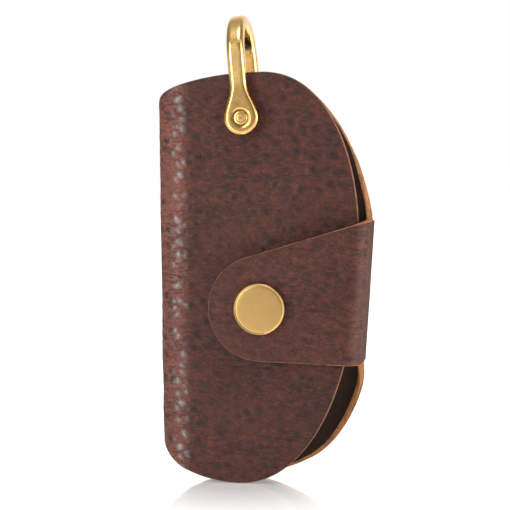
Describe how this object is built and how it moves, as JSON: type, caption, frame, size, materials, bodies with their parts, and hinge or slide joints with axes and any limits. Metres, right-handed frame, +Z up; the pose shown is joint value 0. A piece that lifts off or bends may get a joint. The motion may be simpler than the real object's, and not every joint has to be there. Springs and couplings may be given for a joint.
{
  "type": "key organiser",
  "caption": "Folded leather key wrap hung from a brass shackle and pin, closed by a round-ended strap with a brass snap.",
  "frame": {"origin": "inside top of the shackle's bow, where a hook carries it", "axes": "+Z up along the wrap's height, +X from the spine towards the strap's fold, -Y out of the front panel"},
  "size_m": [0.0539, 0.0244, 0.1152],
  "materials": {
    "front_leather": "waxed pebble-grain leather, dark reddish brown",
    "spine_leather": "waxed pebble-grain leather, polished along the bend",
    "back_leather": "waxed pebble-grain leather, dark reddish brown",
    "fold_leather": "waxed leather, smoother along the bend",
    "strap_leather": "waxed leather, fine grain",
    "cap_brass": "polished, lightly rubbed",
    "cap_post_brass": "plain",
    "socket_brass": "plain",
    "spring_bronze": "plain spring wire",
    "stud_brass": "polished",
    "eyelet_brass": "plain",
    "shackle_brass": "polished solid brass",
    "pin_brass": "polished solid brass"
  },
  "bodies": {
    "shackle_body": {"shackle": "shackle_brass"},
    "pin_body": {"shackle_pin": "pin_brass"},
    "wrap_body": {"front_panel": "front_leather", "spine_fold": "spine_leather", "back_panel": "back_leather", "snap_stud": "stud_brass", "stud_post": "eyelet_brass"},
    "fold_body": {"strap_fold": "fold_leather"},
    "strap_body": {"closure_strap": "strap_leather", "snap_cap": "cap_brass", "snap_cap_post": "cap_post_brass", "snap_socket": "socket_brass", "socket_spring": "spring_bronze"}
  },
  "joints": [
    {"name": "wrap_swing", "type": "hinge", "parent": "shackle_body", "child": "wrap_body", "pos_m": [0.00204, 0, -0.02201], "axis": [0, 1, 0], "range_deg": [-58, 42]},
    {"name": "pin_draw", "type": "slide", "parent": "shackle_body", "child": "pin_body", "axis": [0, 1, 0], "range_m": [0, 0.021]},
    {"name": "fold_bend", "type": "hinge", "parent": "wrap_body", "child": "fold_body", "pos_m": [0.02827, 0.0051, -0.06441], "axis": [0.0593, 0, 0.9982], "range_deg": [0, 80]},
    {"name": "strap_bend", "type": "hinge", "parent": "fold_body", "child": "strap_body", "pos_m": [0.02827, -0.0101, -0.06441], "axis": [0.0593, 0, 0.9982], "range_deg": [0, 100]}
  ],
  "couplings": [
    {"joint": "fold_bend", "follows": "strap_bend", "ratio": 0.8}
  ]
}
